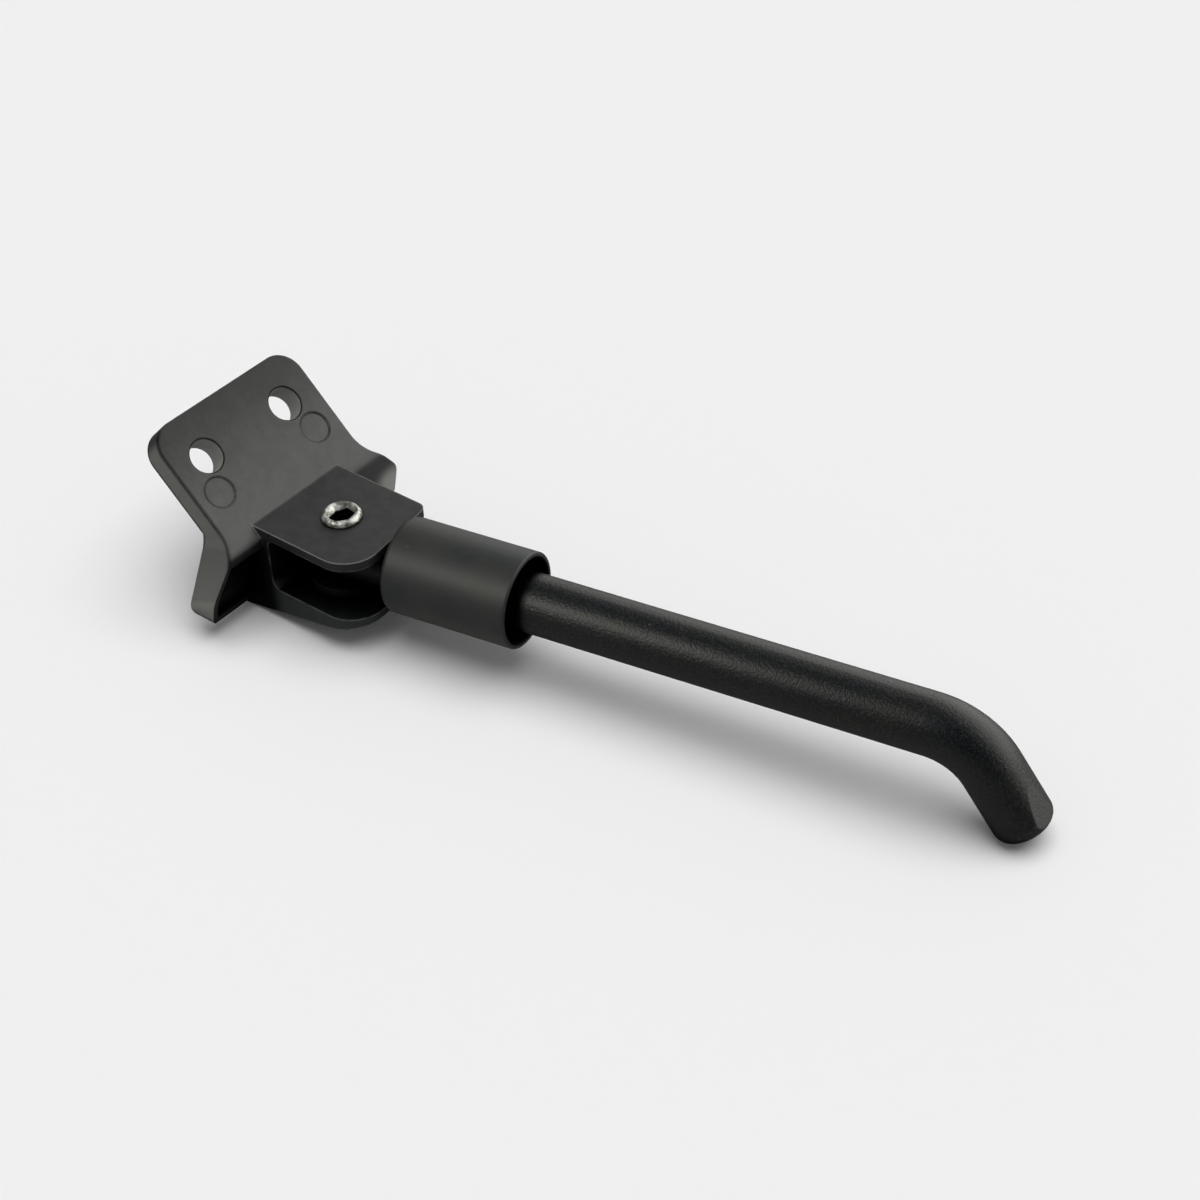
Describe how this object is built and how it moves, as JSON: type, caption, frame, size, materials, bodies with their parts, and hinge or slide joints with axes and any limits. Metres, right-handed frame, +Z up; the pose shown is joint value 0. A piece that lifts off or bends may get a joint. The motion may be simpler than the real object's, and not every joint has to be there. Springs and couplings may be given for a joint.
{
  "type": "electric scooter kickstand",
  "caption": "Scooter kickstand: cast bracket with sloped bolt plate and clevis, bent round leg that swings about a pivot bolt, sprung sleeve round its top.",
  "frame": {"origin": "on the floor under the middle of the part, as it lies at rest", "axes": "+X from the bracket towards the foot, +Y along the row of bolt holes, +Z up"},
  "size_m": [0.1512, 0.0484, 0.0325],
  "materials": {
    "bracket_coat": "matt black coat on a casting",
    "leg_coat": "black powder coat with fine grain",
    "sleeve_coat": "smooth matt black",
    "zinc_plate": "bright zinc plate",
    "spring_steel": "oiled spring steel",
    "bush_bronze": "plain sintered bronze",
    "washer_plastic": "black plastic"
  },
  "bodies": {
    "bracket": {"bracket": "bracket_coat", "pivot_bolt": "zinc_plate", "thrust_washer": "washer_plastic", "lock_nut": "zinc_plate"},
    "leg": {"leg": "leg_coat", "pivot_bush": "bush_bronze", "spring_seat": "zinc_plate", "retaining_ring": "spring_steel", "sleeve_spring": "spring_steel"},
    "sleeve": {"sleeve": "sleeve_coat"}
  },
  "joints": [
    {"name": "leg_swing", "type": "hinge", "parent": "bracket", "child": "leg", "pos_m": [-0.04598, -0.00282, 0.01261], "axis": [0.0371, 0, -0.9993], "range_deg": [0, 100]},
    {"name": "sleeve_slide", "type": "slide", "parent": "leg", "child": "sleeve", "axis": [0.9819, 0.1857, 0.0365], "range_m": [0, 0.005], "deforming": ["sleeve_spring"]}
  ],
  "couplings": [
    {"joint": "sleeve_slide", "follows": "leg_swing", "m_per_rad": 0.002864}
  ]
}
